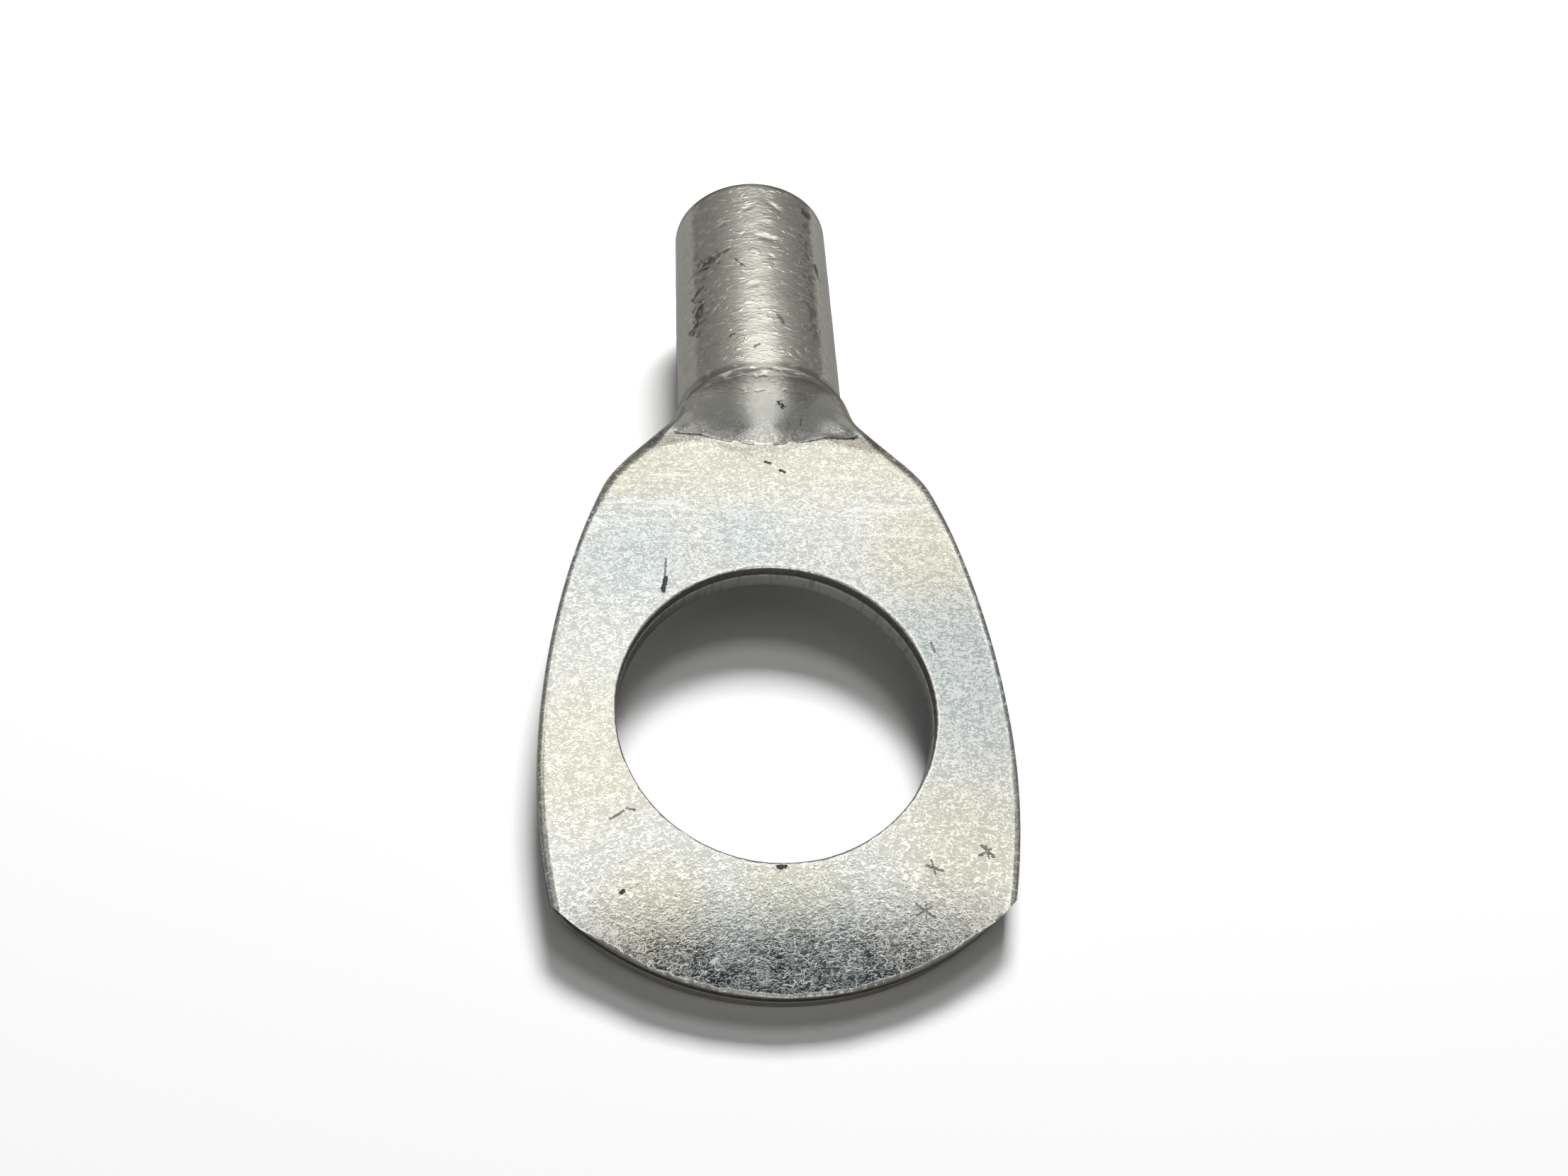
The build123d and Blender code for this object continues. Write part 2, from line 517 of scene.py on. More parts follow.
@dataclass
class Terminal:
    """The terminal's one piece: palm, neck and barrel of the same tube."""

    tube: PressedTube = field(default_factory=PressedTube)
    wall: PunchedWall = field(default_factory=PunchedWall)
    hole_radius: float = 6.5
    hole_rim: float = 0.09
    hole_raggedness: float = 0.5
    tip_radius: float = 12.6
    tip_centre: tuple[float, float] = (-0.13, -1.2)
    tip_rim: float = 0.15
    tip_raggedness: float = 0.35
    seam_half_width: float = 7.5
    mouth_distance: float = 27.5
    mouth_break: float = 0.12
    bore_radius: float = 2.85
    bore_break: float = 0.25
    bore_end_distance: float = 15.3
    pinch_distance: float = 14.2
    pinch_half_width: float = 4.0
    pinch_gap: float = 0.12
    lip_width: float = 0.45
    waviness: float = 0.003
    waves: tuple[Point, ...] = ((1.0, 2.3, 0.05), (0.5, 5.9, -0.08))
    handled_front: Range = (15.9, 16.6)
    handled_rear: Range = (-27.3, -26.7)
    round_after: float = 1.8
    even_after: float = 2.6
    flat_aim: tuple[float, float] = (5.4, 0.9)
    neck_rings: tuple[float, float, float] = (0.04, 2.8, 0.045)
    barrel_gap: float = 0.08
    barrel_rings: int = 84
    ring_turns: int = 1801
    tip_spans: int = 150
    side_spans: int = 130
    crease_spans: int = 100
    fold_spans: int = 20
    face_spans: int = 44
    under_spans: int = 12
    bore_spans: int = 14
    pinch_spans: int = 10
    round_spans: int = 4
    fold_crowding: float = 0.7
    fold_rounds: int = 9
    side_clear: float = 3.0
    face_clear: float = 6.0
    ring_clear: float = 8.0
    first_reach: float = 8.0
    tip_line: tuple[int, int] = (70, 11)
    tip_rim_range: Range = (0.35, 2.0)
    least_seam: float = 0.05
    tip_fade: float = 12.0
    ring_points: int = 900
    fine_line: tuple[int, int] = (230, 5)
    coarse_line: tuple[int, int] = (40, 6)
    fine_share: float = 0.7
    coarse_share: float = 0.5
    hole_rim_range: Range = (0.3, 2.6)
    dents: tuple[Dent, ...] = (
        Dent(-25.9, -13.0, 1.1, 0.42, 0.05, -34.0),
        Dent(-25.7, 7.0, 0.7, 0.3, 0.035, 30.0),
        Dent(-23.6, -6.0, 1.5, 0.4, 0.05, -6.0),
        Dent(-24.8, 28.0, 0.7, 0.3, 0.035, 12.0),
        Dent(-24.6, -5.0, 0.8, 0.25, 0.03, -12.0),
        Dent(-22.3, -8.0, 0.5, 0.3, 0.03, -20.0),
        Dent(-20.4, 6.0, 0.7, 0.35, 0.025, 8.0),
        Dent(-16.3, -22.0, 0.5, 0.4, 0.04, -50.0),
    )

    def fold_rows(self, along: np.ndarray, turns: np.ndarray, sign: float) -> np.ndarray:
        """Finds the skin round a folded side.

        Args:
            along: Rows of places along Y, one column to each turn.
            turns: The turns' angles over the fold, in radians.
            sign: 1 for the plus side, -1 for the minus side.

        Returns:
            A point on the skin for each place and turn.
        """
        half = self.tube.palm_thickness / 2.0
        signs = np.full_like(along, sign)
        inset = half * self.tube.side_stretch(along, signs)
        middle = self.tube.side_reach(along, signs) - inset
        starts = np.stack([sign * middle, along, np.full_like(along, half)], axis=-1)
        directions = np.zeros_like(starts)
        directions[..., 0] = sign * np.cos(turns)[None, :]
        directions[..., 2] = np.sin(turns)[None, :]
        return self.tube.cast(starts, directions, self.side_clear)

    def side_grid(self, side: Side) -> np.ndarray:
        """Makes one folded side of the palm.

        Args:
            side: Which side.

        Returns:
            Points from the tip back to the crease, each row running over the fold.
        """
        even = np.linspace(1.0, -1.0, self.fold_spans + 1)
        crowded = self.fold_crowding * np.sin(2.0 * pi * even) / (2.0 * pi)
        turns = pi / 2.0 * (even + crowded)
        sign = float(side.value)
        ends = np.full((1, len(turns)), self.first_reach)
        for _ in range(self.fold_rounds):
            offset = self.fold_rows(ends, turns, sign)[..., 0] - self.tip_centre[0]
            ends = self.tip_centre[1] + np.sqrt(self.tip_radius**2 - offset**2)
        shares = np.linspace(0.0, 1.0, self.side_spans + 1)[:, None]
        rows = ends + (-self.tube.crease_distance - ends) * shares
        return self.fold_rows(rows, turns, sign)

    def crease_line(self, start: Point, end: Point, up: float) -> np.ndarray:
        """Makes the line across the tube where the palm's faces meet the neck.

        Args:
            start: Its first point.
            end: Its last point.
            up: 1 for the upper face, -1 for the lower one.

        Returns:
            The points of the line.
        """
        half = self.tube.palm_thickness / 2.0
        across = np.linspace(start[0], end[0], self.crease_spans + 1)
        starts = np.stack([across, np.full_like(across, -self.tube.crease_distance)], axis=-1)
        starts = np.concatenate([starts, np.full((len(across), 1), half)], axis=1)
        directions = np.tile([0.0, 0.0, up], (len(across), 1))
        line = self.tube.cast(starts, directions, self.face_clear)
        line[0], line[-1] = start, end
        return line

    def tip_grid(self, first: np.ndarray, last: np.ndarray) -> np.ndarray:
        """Makes the punched wall of the tip between the two folds.

        Args:
            first: The corner on the plus side, on the upper face.
            last: The corner on the minus side.

        Returns:
            Points along the tip, each row running down the wall.
        """
        centre = np.array(self.tip_centre)
        angles = [np.arctan2(*(corner[:2] - centre)[::-1]) for corner in (first, last)]
        turns = np.linspace(angles[0], angles[1], self.tip_spans + 1)
        wobble = rough_line(self.tip_spans + 1, *self.tip_line)
        places = np.arange(self.tip_spans + 1)
        from_end = np.minimum(places, places[::-1]).astype(float)
        fade = smooth_step(from_end, 0.0, self.tip_fade)
        ragged = np.clip(1.0 + self.tip_raggedness * wobble, *self.tip_rim_range)
        rim = self.tip_rim * ragged * fade
        across = centre[0] + self.tip_radius * np.cos(turns)
        seam = 1.0 - smooth_step(np.abs(across), self.seam_half_width - 1.0, self.seam_half_width)
        seam = np.where(seam < self.least_seam, 0.0, seam)
        grid = []
        for place, turn in enumerate(turns):
            rows = self.wall.profile(rim[place], seam[place])
            depth = rows[:, 0] * np.where(rows[:, 1] < self.wall.foot_break, fade[place], 1.0)
            radius = self.tip_radius - depth
            x, y = centre[0] + radius * cos(turn), centre[1] + radius * sin(turn)
            grid.append(np.stack([x, y, rows[:, 1]], axis=-1))
        return np.array(grid)

    def wedge_grid(self, fold: np.ndarray) -> np.ndarray:
        """Makes the wall inside the end of a fold, between its upper and lower edge.

        Args:
            fold: The fold's end, from the upper face round to the lower one.

        Returns:
            Columns that shorten to the point where the fold is widest.
        """
        shares = 1.0 - self.wall.profile(0.0, 0.0)[:, 1] / self.wall.thickness
        half = self.fold_spans // 2
        upper, lower = fold[: half + 1], fold[::-1][: half + 1]
        return upper[:, None, :] + (lower - upper)[:, None, :] * shares[None, :, None]

    def hole_grid(self, ring: np.ndarray) -> np.ndarray:
        """Makes the wall of the stud hole.

        Args:
            ring: The angle of each column, in radians.

        Returns:
            Points round the hole, each row running down the wall.
        """
        around = np.linspace(0, 2 * pi, self.ring_points)
        fine, coarse = (
            np.interp(ring % (2.0 * pi), around, rough_line(self.ring_points, *line))
            for line in (self.fine_line, self.coarse_line)
        )
        ragged = self.fine_share * fine + self.coarse_share * coarse
        rim = self.hole_rim * np.clip(1.0 + self.hole_raggedness * ragged, *self.hole_rim_range)
        grid = []
        for place, turn in enumerate(ring):
            rows = self.wall.profile(rim[place], 1.0)
            radius = self.hole_radius + rows[:, 0]
            grid.append(np.stack([radius * cos(turn), radius * sin(turn), rows[:, 1]], axis=-1))
        return np.array(grid)

    def face_grid(self, inner: np.ndarray, outer: np.ndarray, spans: int, up: float) -> np.ndarray:
        """Makes one flat face of the palm, from the hole's edge to the outline.

        Args:
            inner: The ring at the hole's edge.
            outer: The ring at the outline, in the same order.
            spans: How many faces lie between the two rings.
            up: 1 for the upper face, -1 for the lower one.

        Returns:
            Points in rings from the hole outwards.
        """
        half = self.tube.palm_thickness / 2.0
        shares = np.linspace(0.0, 1.0, spans + 1)[:, None, None]
        grid = inner[None] + (outer - inner)[None] * shares
        within = (shares[..., 0] > 0.0) & (shares[..., 0] < 1.0)
        grid[..., 2] = np.where(within, half * (1.0 + up), grid[..., 2])
        rear = (grid[..., 1] < self.tube.palm_only_from) & within
        starts = grid[rear].copy()
        starts[:, 2] = half
        directions = np.tile([0.0, 0.0, up], (len(starts), 1))
        grid[rear] = self.tube.cast(starts, directions, self.face_clear)
        return grid

    def neck_rows(self, ring: np.ndarray) -> np.ndarray:
        """Carries the tube's skin from the crease over the neck and along the barrel.

        Args:
            ring: The closed ring at the crease.

        Returns:
            Rings of points, the first of them at the crease.
        """
        tube = self.tube
        crease = tube.crease_distance
        first_gap, reach, step = self.neck_rings
        near = np.arange(crease + first_gap, crease + reach, step)
        end = self.mouth_distance - self.mouth_break
        far = np.linspace(near[-1] + self.barrel_gap, end, self.barrel_rings)
        turns = np.linspace(0.0, 2.0 * pi, self.ring_turns)
        start = length_shares(np.concatenate([ring, ring[:1]]))[:-1]
        even = np.arange(len(ring)) / len(ring)
        rings = [ring]
        for distance in np.concatenate([near, far]):
            into = float(smooth_step(np.array(distance), crease, crease + self.round_after))
            height = tube.palm_thickness / 2.0 * (1.0 - into) + tube.axis_height * into
            wide, tall = (
                aim * (1.0 - into) + tube.barrel_radius * into for aim in self.flat_aim
            )
            starts = np.tile([0.0, -distance, height], (len(turns), 1))
            directions = np.stack(
                [wide * np.cos(turns), np.zeros_like(turns), tall * np.sin(turns)], axis=-1
            )
            dense = tube.cast(starts, directions, self.ring_clear)
            shares = length_shares(dense)
            ease = float(smooth_step(np.array(distance), crease, crease + self.even_after))
            wanted = start * (1.0 - ease) + even * ease
            line = np.stack([np.interp(wanted, shares, dense[:, axis]) for axis in range(3)], -1)
            rings.append(line)
        return np.array(rings)

    def press_dents(self, rows: np.ndarray) -> np.ndarray:
        """Presses the dents and the tube's slight waviness into the barrel.

        Args:
            rows: Rings of points on the barrel's skin.

        Returns:
            The same rings, pressed.
        """
        height = rows[..., 2] - self.tube.axis_height
        radius = np.hypot(rows[..., 0], height)
        around = np.degrees(np.arctan2(rows[..., 0], height))
        along = rows[..., 1]
        depth = np.zeros_like(radius)
        for dent in self.dents:
            depth += dent.depth_at(along, around, self.tube.barrel_radius)
        fade = smooth_step(-along, *self.handled_front) * smooth_step(along, *self.handled_rear)
        wave = sum(
            share * np.sin(along * ahead + turned * around) for share, ahead, turned in self.waves
        )
        depth = (depth + self.waviness * wave) * fade
        pressed = rows.copy()
        pressed[..., 0] -= rows[..., 0] / radius * depth
        pressed[..., 2] -= height / radius * depth
        return pressed

    def bore_rows(self, ring: np.ndarray) -> np.ndarray:
        """Turns the skin in over the mouth and down the bore to where it is pressed shut.

        Args:
            ring: The last ring of the barrel's outside.

        Returns:
            Rings of points from that ring to the pinched end.
        """
        axis, outer = self.tube.axis_height, self.tube.barrel_radius
        turn = np.arctan2(ring[:, 2] - axis, ring[:, 0])
        mouth, edge, rim = self.mouth_distance, self.mouth_break, self.bore_break
        angles = np.linspace(0.0, pi / 2.0, self.round_spans + 1)
        profile = []
        for angle in angles[1:]:
            place = mouth - edge * (1.0 - sin(angle))
            profile.append((outer - edge * (1.0 - cos(angle)), place))
        profile.append((outer - self.lip_width, mouth))
        for angle in angles:
            radius = self.bore_radius + rim * (1.0 - sin(angle))
            profile.append((radius, mouth - rim * (1.0 - cos(angle))))
        for place in np.linspace(mouth - rim, self.bore_end_distance, self.bore_spans + 1)[1:]:
            profile.append((self.bore_radius, place))
        ovals = [(radius, radius, axis, place) for radius, place in profile]
        for share in np.linspace(0.0, 1.0, self.pinch_spans + 1)[1:]:
            wide = self.bore_radius + (self.pinch_half_width - self.bore_radius) * share
            tall = self.bore_radius + (self.pinch_gap / 2.0 - self.bore_radius) * share
            height = axis + (self.wall.seam_height - axis) * share
            place = self.bore_end_distance * (1.0 - share) + self.pinch_distance * share
            ovals.append((wide, tall, height, place))
        rings = [ring]
        for wide, tall, height, place in ovals:
            x, z = wide * np.cos(turn), height + tall * np.sin(turn)
            rings.append(np.stack([x, np.full_like(x, -place), z], axis=-1))
        return np.array(rings)

    def build(self) -> bpy.types.Object:
        """Builds the whole terminal as one closed mesh.

        Returns:
            The mesh object.
        """
        work = Patchwork()
        plus, minus = self.side_grid(Side.PLUS), self.side_grid(Side.MINUS)
        tip = self.tip_grid(plus[0, 0], minus[0, 0])
        tip[0, 0], tip[-1, 0] = plus[0, 0], minus[0, 0]
        work.add_grid(plus, Skin.PLATE)
        work.add_grid(minus, Skin.PLATE)
        for side, wall_end in ((plus, 0), (minus, -1)):
            wedge = self.wedge_grid(side[0])
            tip[wall_end] = wedge[0]
            work.add_grid(wedge, Skin.PUNCHED)
        work.add_grid(tip, Skin.PUNCHED)

        upper = self.crease_line(minus[-1, 0], plus[-1, 0], 1.0)
        lower = self.crease_line(minus[-1, -1], plus[-1, -1], -1.0)
        top_ring, under_ring = (
            np.concatenate([tip[:-1, row], minus[:-1, row], crease[:-1], plus[::-1][:-1, row]])
            for crease, row in ((upper, 0), (lower, -1))
        )
        turns = np.arctan2(top_ring[:, 1], top_ring[:, 0])
        hole = self.hole_grid(turns)
        work.add_grid(hole.transpose(1, 0, 2), Skin.PUNCHED, closed=True)
        top = self.face_grid(hole[:, 0], top_ring, self.face_spans, 1.0)
        under = self.face_grid(hole[:, -1], under_ring, self.under_spans, -1.0)
        for face in (top, under):
            work.add_grid(face, Skin.PLATE, closed=True)

        half = self.fold_spans // 2
        over = (plus[-1, half::-1], upper[::-1][1:-1], minus[-1])
        ring = np.concatenate([*over, lower[1:-1], plus[-1, :half:-1]])
        skin = self.press_dents(self.neck_rows(ring))
        work.add_grid(skin, Skin.PLATE, closed=True)
        bore = self.bore_rows(skin[-1])
        work.add_grid(bore, Skin.BORE, closed=True)
        end, middle = bore[-1], len(bore[-1]) // 2
        mirrored = end[(-np.arange(middle + 1)) % len(end)]
        work.add_grid(np.stack([end[: middle + 1], mirrored]), Skin.BORE)
        return work.sew("pressed_tube")


class Mixing(Enum):
    """How two colours are put together, by Blender's own names."""

    BLEND = "MIX"
    FILTER = "MULTIPLY"


class Graph:
    """Adds nodes to one node tree and joins them."""

    def __init__(self, tree: bpy.types.NodeTree) -> None:
        """Takes the tree that the nodes go into."""
        self.tree = tree

    def node(self, kind: str, **settings: object) -> bpy.types.Node:
        """Adds a node.

        Args:
            kind: Blender's name for the kind of node.
            settings: The node's properties, by name.

        Returns:
            The node.
        """
        made = self.tree.nodes.new(kind)
        for name, value in settings.items():
            setattr(made, name, value)
        return made

    def feed(self, socket: Socket, value: Value) -> None:
        """Joins a socket to another one, or sets it to a plain value.

        Args:
            socket: The socket to feed.
            value: A socket, a number or a row of numbers.
        """
        if isinstance(value, Socket):
            self.tree.links.new(value, socket)
        else:
            socket.default_value = value

    def split(self, place: Socket) -> tuple[Socket, ...]:
        """Takes a vector apart.

        Args:
            place: The vector.

        Returns:
            Its X, Y and Z parts.
        """
        parts = self.node("ShaderNodeSeparateXYZ")
        self.feed(parts.inputs[0], place)
        return tuple(parts.outputs)

    def sum(self, operation: str, *values: Value, clamp: bool = False) -> Socket:
        """Does one sum on numbers.

        Args:
            operation: The name of Blender's own operation.
            values: Numbers or sockets.
            clamp: Whether the result stays between 0 and 1.

        Returns:
            The result's socket.
        """
        made = self.node("ShaderNodeMath", operation=operation, use_clamp=clamp)
        for place, value in enumerate(values):
            self.feed(made.inputs[place], value)
        return made.outputs[0]

    def times(self, first: Value, *others: Value) -> Socket:
        """Multiplies numbers.

        Args:
            first: A number or a socket.
            others: The numbers or sockets to multiply it by.

        Returns:
            The product's socket.
        """
        for other in others:
            first = self.sum("MULTIPLY", first, other)
        return first

    def away(self, value: Value, middle: float) -> Socket:
        """Gives how far a value lies from a middle one, on either side of it."""
        return self.sum("ABSOLUTE", self.sum("SUBTRACT", value, middle))

    def spread(self, value: Value, middle: float, factor: float) -> Socket:
        """Moves a value's middle to 0 and multiplies what is left."""
        return self.times(self.sum("SUBTRACT", value, middle), factor)

    def vector(self, operation: str, *values: Value, result: str = "Vector") -> Socket:
        """Does one sum on vectors.

        Args:
            operation: The name of Blender's own operation.
            values: Vectors or sockets. To SCALE, the second one is a number.
            result: Which output to take, "Vector" or "Value".

        Returns:
            The result's socket.
        """
        made = self.node("ShaderNodeVectorMath", operation=operation)
        for place, value in enumerate(values):
            target = made.inputs["Scale"] if operation == "SCALE" and place else made.inputs[place]
            self.feed(target, value)
        return made.outputs[result]

    def span(
        self, value: Value, low: float, high: float, start: Value = 0.0, end: Value = 1.0
    ) -> Socket:
        """Maps a value smoothly from one range to another.

        Args:
            value: The value.
            low: Where the range starts.
            high: Where the range ends.
            start: The result at the start.
            end: The result at the end.

        Returns:
            The result's socket.
        """
        made = self.node("ShaderNodeMapRange", interpolation_type="SMOOTHSTEP")
        names = ("Value", "From Min", "From Max", "To Min", "To Max")
        for name, given in zip(names, (value, low, high, start, end)):
            self.feed(made.inputs[name], given)
        return made.outputs[0]

    def band(self, value: Value, rise: Range, fall: Range) -> Socket:
        """Gives 1 between a rise and a fall of a value, and 0 outside them."""
        return self.times(self.span(value, *rise), self.span(value, *fall))

    def noise(self, place: Socket, scale: float, detail: float = 3.0, bend: float = 0.0) -> Socket:
        """Adds a noise pattern.

        Args:
            place: The coordinates, in millimetres.
            scale: Features to the millimetre.
            detail: How many finer layers it has.
            bend: How much it is distorted.

        Returns:
            The pattern's socket.
        """
        made = self.node("ShaderNodeTexNoise", noise_dimensions="3D")
        self.feed(made.inputs["Vector"], place)
        for name, value in (("Scale", scale), ("Detail", detail), ("Distortion", bend)):
            made.inputs[name].default_value = value
        return made.outputs[0]

    def level(self, share: Value, first: Value, second: Value) -> Socket:
        """Mixes two numbers.

        Args:
            share: How much of the second one, from 0 to 1.
            first: A number or its socket.
            second: A number or its socket.

        Returns:
            The mixed number's socket.
        """
        made = self.node("ShaderNodeMix", data_type="FLOAT")
        for socket, value in ((0, share), (2, first), (3, second)):
            self.feed(made.inputs[socket], value)
        return made.outputs[0]

    def blend(
        self, share: Value, first: Value, second: Value, mixing: Mixing = Mixing.BLEND
    ) -> Socket:
        """Mixes two colours.

        Args:
            share: How much of the second one, from 0 to 1.
            first: A colour or its socket.
            second: A colour or its socket.
            mixing: Whether the second one covers the first or filters it.

        Returns:
            The mixed colour's socket.
        """
        made = self.node("ShaderNodeMix", data_type="RGBA", blend_type=mixing.value)
        self.feed(made.inputs[0], share)
        for socket, value in ((made.inputs[6], first), (made.inputs[7], second)):
            self.feed(socket, value if isinstance(value, Socket) else (*value, 1.0))
        return made.outputs[2]

    def layers(self, colour: Value, coats: tuple[tuple[Value, Colour], ...]) -> Socket:
        """Lays coats of colour over a first one.

        Args:
            colour: The first colour or its socket.
            coats: For each coat, from the lowest up, its share and its colour.

        Returns:
            The last colour's socket.
        """
        for share, coat in coats:
            colour = self.blend(share, colour, coat)
        return colour


class FinishGraph(Graph):
    """The node tree of one finish on the metal, with its places in millimetres."""

    GRAIN_DEPTH = 0.03

    def __init__(self, name: str) -> None:
        """Starts the material.

        Args:
            name: The material's name.
        """
        self.made = bpy.data.materials.new(name)
        self.made.use_nodes = True
        super().__init__(self.made.node_tree)
        where = self.node("ShaderNodeTexCoord").outputs["Object"]
        self.place = self.vector("SCALE", where, 1.0 / MM)
        self.across, self.along, self.upward = self.split(self.place)

    def finish(
        self, colour: Value, metallic: Value, roughness: Value, grain: Socket
    ) -> bpy.types.Material:
        """Joins what the finish is made of to the shader.

        Args:
            colour: The base colour.
            metallic: How much of it is bare metal.
            roughness: The roughness.
            grain: The height of the grain.

        Returns:
            The material.
        """
        shader = self.tree.nodes["Principled BSDF"]
        bump = self.node("ShaderNodeBump")
        bump.inputs["Strength"].default_value = 1.0
        bump.inputs["Distance"].default_value = self.GRAIN_DEPTH * MM
        self.feed(bump.inputs["Height"], grain)
        names = ("Base Color", "Metallic", "Roughness", "Normal")
        for name, value in zip(names, (colour, metallic, roughness, bump.outputs[0])):
            self.feed(shader.inputs[name], value)
        return self.made


class MarkKind(Enum):
    """What a mark on the plating is, with its darkness and its depth."""

    PIT = (0.9, 1.0)
    SCRATCH = (0.55, 0.6)
    # These marks are real stains, and also the painted shade down the barrel's sides and in the
    # neck's creases.
    STAIN_AND_SHADE = (0.75, 0.05)


class Measure(Enum):
    """What is added up of the marks, by its place in the kind's value."""

    DARKNESS = 0
    DEPTH = 1


@dataclass(frozen=True)
class Mark:
    """One mark on the plating, along a short line."""

    kind: MarkKind
    start: Point
    end: Point
    width: float


def marks_of(kind: MarkKind, *rows: tuple[float, ...]) -> tuple[Mark, ...]:
    """Makes marks of one kind from rows of start, end and width, all in millimetres."""
    return tuple(Mark(kind, row[:3], row[3:6], row[6]) for row in rows)


@dataclass(frozen=True)
class TinPlate:
    """Bright tin plating over copper, with its fine grain, brushing, stains and marks, and with
    painted shade and a painted dark reflection.
    """

    colour: Colour = (0.54, 0.55, 0.52)
    frost: Colour = (0.98, 0.97, 0.93)
    warm: Colour = (1.0, 0.96, 0.80)
    cool: Colour = (0.88, 0.95, 1.0)
    aged: Colour = (0.86, 0.84, 0.74)
    # This colour is the barrel's duller tin and the brushing's dark lines, and also the painted
    # shade on the neck's ridge band.
    dull_tin_and_shade: Colour = (0.46, 0.44, 0.39)
    # Painted reflection: tip is the bluish dark laid over the palm's tip for the dark reflection
    # of a board above it.
    tip: Colour = (0.20, 0.245, 0.265)
    # This colour darkens real stains and the mouth's edge, and also the painted shade on the
    # barrel's sides and in the creases.
    stain_and_shade: Colour = (0.14, 0.11, 0.08)
    soot: Colour = (0.03, 0.027, 0.022)
    roughness: float = 0.1
    mark_edge: Range = (1.15, 0.6)
    tube_start: Range = (-13.6, -15.2)
    neck_end: Range = (-15.9, -15.4)
    frost_end: Range = (-13.4, -14.2)
    # Painted reflection: the range along Y where the palm's tip is darkened for that reflection.
    dark_reflection_tip: Range = (9.0, 10.6)
    mouth_edge: Range = (-27.0, -27.4)
    # Painted shade: the band over the neck's ridge, dulled in colour for the dim reflection it
    # shows.
    ridge: tuple[Range, Range] = ((-15.75, -15.45), (-14.85, -15.1))
    brushed: tuple[Range, Range] = ((-13.0, -12.0), (-6.8, -8.8))
    brushed_aside: Range = (1.5, 4.5)
    warm_rear: tuple[Range, Range] = ((-14.2, -12.8), (-9.0, -11.5))
    warm_spots: tuple[Spot, ...] = (
        ((7.6, 2.0, 1.4), 5.0),
        ((-6.8, 6.0, 1.4), 4.0),
        ((0.0, 7.4, 1.4), 3.0),
        ((-7.0, -7.5, 1.4), 4.0),
        ((5.0, 8.0, 1.4), 3.0),
    )
    cool_spots: tuple[Spot, ...] = (
        ((-7.0, -1.5, 1.4), 5.5),
        ((6.0, -7.0, 1.4), 3.6),
        # Painted reflection: this spot tints the tip's painted dark reflection bluish.
        ((0.0, 10.8, 1.4), 5.0),
        ((1.0, -8.0, 1.4), 2.5),
    )
    marks: tuple[Mark, ...] = marks_of(
        MarkKind.PIT,
        (-0.6, -14.5, 2.95, -0.8, -14.42, 2.82, 0.17),
        (-0.45, -14.58, 3.02, -0.55, -14.5, 2.95, 0.1),
        (-0.05, -12.2, 1.45, -0.25, -12.15, 1.45, 0.07),
        (-0.7, -11.75, 1.45, -0.9, -11.65, 1.45, 0.06),
        (0.1, 6.62, 1.45, 0.3, 6.66, 1.45, 0.1),
        (6.07, 7.45, 1.45, 6.13, 7.48, 1.45, 0.075),
        (4.5, -5.95, 1.45, 4.62, -5.3, 1.45, 0.09),
    ) + marks_of(
        MarkKind.SCRATCH,
        (4.5, -6.9, 1.45, 4.55, -6.0, 1.45, 0.035),
        (6.1, 4.4, 1.45, 6.6, 4.7, 1.45, 0.04),
        (5.7, 4.35, 1.45, 6.0, 4.3, 1.45, 0.04),
        (-4.75, 8.2, 1.45, -5.35, 8.7, 1.45, 0.045),
        (-5.3, 8.3, 1.45, -4.7, 8.6, 1.45, 0.035),
        (-5.1, 8.1, 1.45, -5.04, 8.75, 1.45, 0.02),
        (-5.3, 6.75, 1.45, -5.9, 6.95, 1.45, 0.045),
        (-5.5, 6.5, 1.45, -5.6, 7.1, 1.45, 0.03),
        (-7.55, 6.0, 1.45, -7.95, 6.45, 1.45, 0.05),
        (-7.4, 6.4, 1.45, -7.9, 6.15, 1.45, 0.045),
        (-7.72, 6.0, 1.45, -7.75, 6.5, 1.45, 0.03),
        (-6.65, -2.8, 1.45, -6.75, -2.4, 1.45, 0.05),
        (5.8, 9.6, 1.45, 6.1, 9.75, 1.45, 0.07),
        (-1.75, -14.3, 2.5, -1.7, -13.9, 1.9, 0.04),
    )
    stains: tuple[Mark, ...] = marks_of(
        MarkKind.STAIN_AND_SHADE,
        (2.75, -22.6, 3.4, 2.2, -22.7, 3.8, 0.42),
        (2.2, -22.75, 3.85, 1.5, -22.95, 4.2, 0.16),
        (2.9, -20.0, 3.15, 3.1, -19.4, 3.0, 0.5),
        (3.2, -20.8, 2.85, 2.7, -21.2, 3.4, 0.2),
        (3.3, -18.9, 2.7, 3.1, -18.7, 2.9, 0.3),
        (-2.4, -26.5, 3.65, -2.8, -26.4, 3.3, 0.26),
        (-2.8, -23.1, 3.3, -3.0, -22.3, 3.1, 0.3),
        (1.2, -22.2, 4.3, 0.8, -21.6, 4.4, 0.1),
        (-0.6, -18.5, 4.4, -0.9, -18.1, 4.4, 0.14),
        (0.3, -16.6, 4.47, 0.5, -16.5, 4.47, 0.1),
        (1.4, -17.4, 4.2, 1.6, -17.3, 4.15, 0.1),
    )
    # Painted shade: two long dark bands down the barrel's sides, where it turns away from the
    # bright ceiling, for the dim reflection there.
    barrel_side_shade: tuple[Mark, ...] = marks_of(
        MarkKind.STAIN_AND_SHADE,
        (3.0, -23.0, 3.3, 3.0, -18.6, 3.3, 0.9),
        (-2.5, -26.4, 3.6, -2.4, -18.2, 3.7, 0.7),
    )
